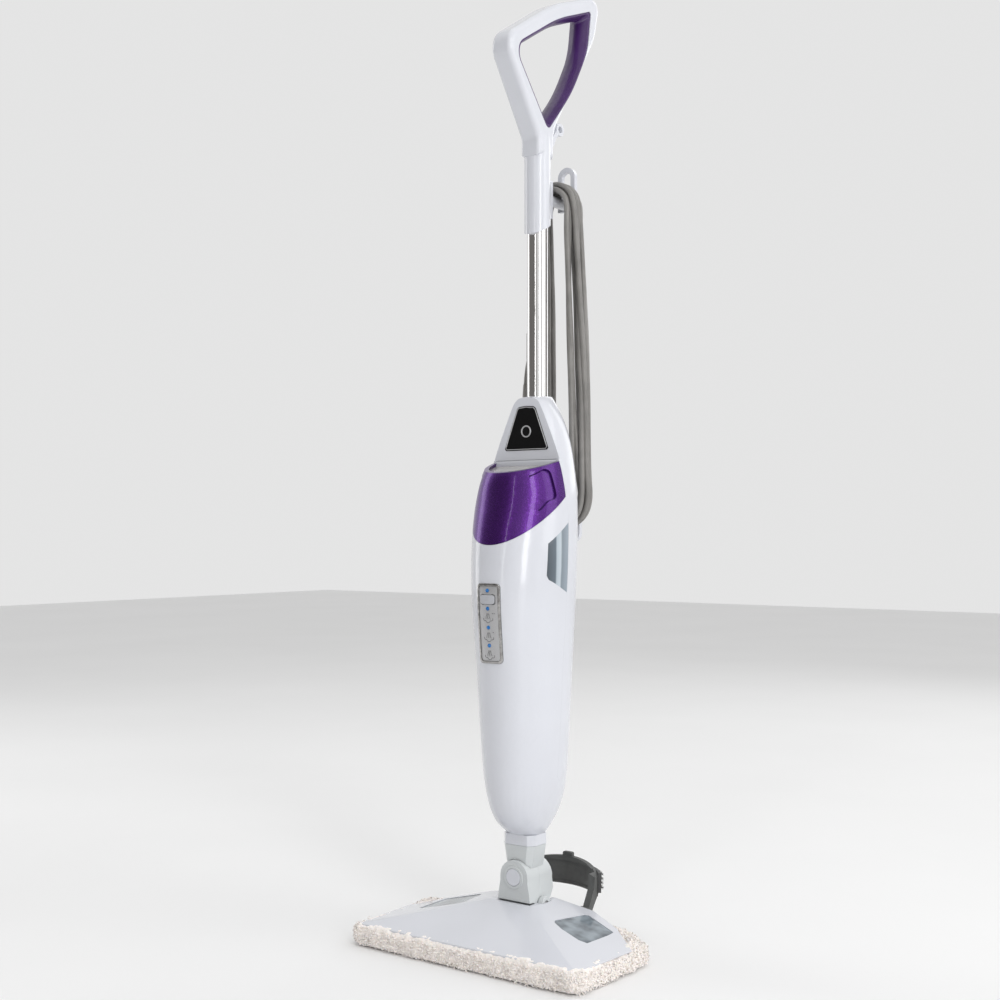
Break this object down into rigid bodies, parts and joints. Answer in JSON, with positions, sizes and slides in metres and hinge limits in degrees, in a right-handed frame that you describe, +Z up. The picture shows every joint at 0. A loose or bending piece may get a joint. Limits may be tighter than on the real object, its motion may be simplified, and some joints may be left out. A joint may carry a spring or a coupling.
{
  "type": "upright steam mop",
  "caption": "Upright steam mop: fan-shaped foot with a fleece pad and flip-down scrubber, swivelling neck, lift-out water tank, chrome tube, looped handle and hanked cord.",
  "frame": {"origin": "on the floor, under the middle of the neck", "axes": "+Z up along the upright body, -Y out of the front face with the control panel, +X to the left hand of someone facing the front"},
  "size_m": [0.338, 0.279, 1.1686],
  "materials": {
    "white_plastic": "gloss",
    "neck_plastic": "satin",
    "purple_metallic": "gloss",
    "purple_grip": "satin",
    "dark_plastic": "matte",
    "black_gloss": "gloss",
    "clear_tank": "clear",
    "smoked_window": "clear",
    "chrome": "polished",
    "steel": "brushed",
    "aluminium": "cast",
    "silver_plate": "satin",
    "led_blue": "gloss",
    "button_grey": "satin",
    "board_green": "satin",
    "rubber_black": "matte",
    "silicone": "matte",
    "cord_grey": "satin",
    "fleece": "pile",
    "hook_tape": "napped",
    "bristle": "matte",
    "brass": "plain"
  },
  "bodies": {
    "foot": {"foot_shell": "white_plastic", "foot_window_right": "smoked_window", "foot_window_left": "smoked_window", "foot_base": "white_plastic", "steam_manifold": "neck_plastic", "mop_pad": "fleece", "pad_strips": "hook_tape", "foot_screws": "steel", "hinge_bracket": "neck_plastic", "lean_axle": "steel", "scrubber_lugs": "dark_plastic"},
    "scrubber": {"scrubber_frame": "dark_plastic", "scrubber_bristles": "bristle"},
    "yoke": {"yoke_front": "neck_plastic", "yoke_rear": "neck_plastic", "pivot_cap": "white_plastic", "swivel_pin": "steel"},
    "upright": {"neck_lower": "neck_plastic", "neck_collar": "white_plastic", "front_shell": "white_plastic", "rear_shell": "white_plastic", "upper_cover": "white_plastic", "badge": "black_gloss", "panel_bezel": "chrome", "panel_plate": "silver_plate", "led_lenses": "led_blue", "circuit_board": "board_green", "boiler": "aluminium", "boiler_clamps": "steel", "pump": "dark_plastic", "pump_mount": "rubber_black", "inlet_valve": "silicone", "inlet_hose": "silicone", "feed_hose": "silicone", "steam_hose": "silicone", "thermostat": "brass", "thermal_fuse": "steel", "side_window_right": "smoked_window", "side_window_left": "smoked_window", "tank_bay": "white_plastic", "handle_tube": "chrome", "tube_socket": "white_plastic", "handle_right": "white_plastic", "handle_left": "white_plastic", "grip_ring": "purple_grip", "cord_clip": "white_plastic", "hook_base": "white_plastic", "lower_cord_hook": "white_plastic", "strain_relief": "cord_grey", "cord_lead": "cord_grey", "cord_hank": "cord_grey", "plug_body": "cord_grey", "plug_pins": "brass", "body_screws": "steel"},
    "tank": {"tank_front": "purple_metallic", "tank_reservoir": "clear_tank"},
    "tank_lid": {"tank_cap": "dark_plastic", "tank_valve": "rubber_black"},
    "button": {"steam_button": "button_grey"},
    "hook": {"cord_hook": "white_plastic"}
  },
  "joints": [
    {"name": "lean", "type": "hinge", "parent": "foot", "child": "yoke", "pos_m": [0, 0, 0.05], "axis": [-1, 0, 0], "range_deg": [0, 42]},
    {"name": "swivel", "type": "hinge", "parent": "yoke", "child": "upright", "pos_m": [0, 0, 0.082], "axis": [0, 1, 0], "range_deg": [-34, 34]},
    {"name": "scrubber_flip", "type": "hinge", "parent": "foot", "child": "scrubber", "pos_m": [0, 0.045, 0.036], "axis": [-1, 0, 0], "range_deg": [0, 50]},
    {"name": "tank_lift", "type": "slide", "parent": "upright", "child": "tank", "axis": [0, 0, 1], "range_m": [0, 0.17]},
    {"name": "lid_turn", "type": "hinge", "parent": "tank", "child": "tank_lid", "pos_m": [0, -0.025, 0.41], "axis": [0, 0, 1], "range_deg": [0, 90]},
    {"name": "button_press", "type": "slide", "parent": "upright", "child": "button", "axis": [0, 1, 0], "range_m": [0, 0.0012], "stiffness_N_per_m": 900},
    {"name": "hook_turn", "type": "hinge", "parent": "upright", "child": "hook", "pos_m": [0, 0.06, 0.899], "axis": [0, 1, 0], "range_deg": [0, 180]}
  ]
}
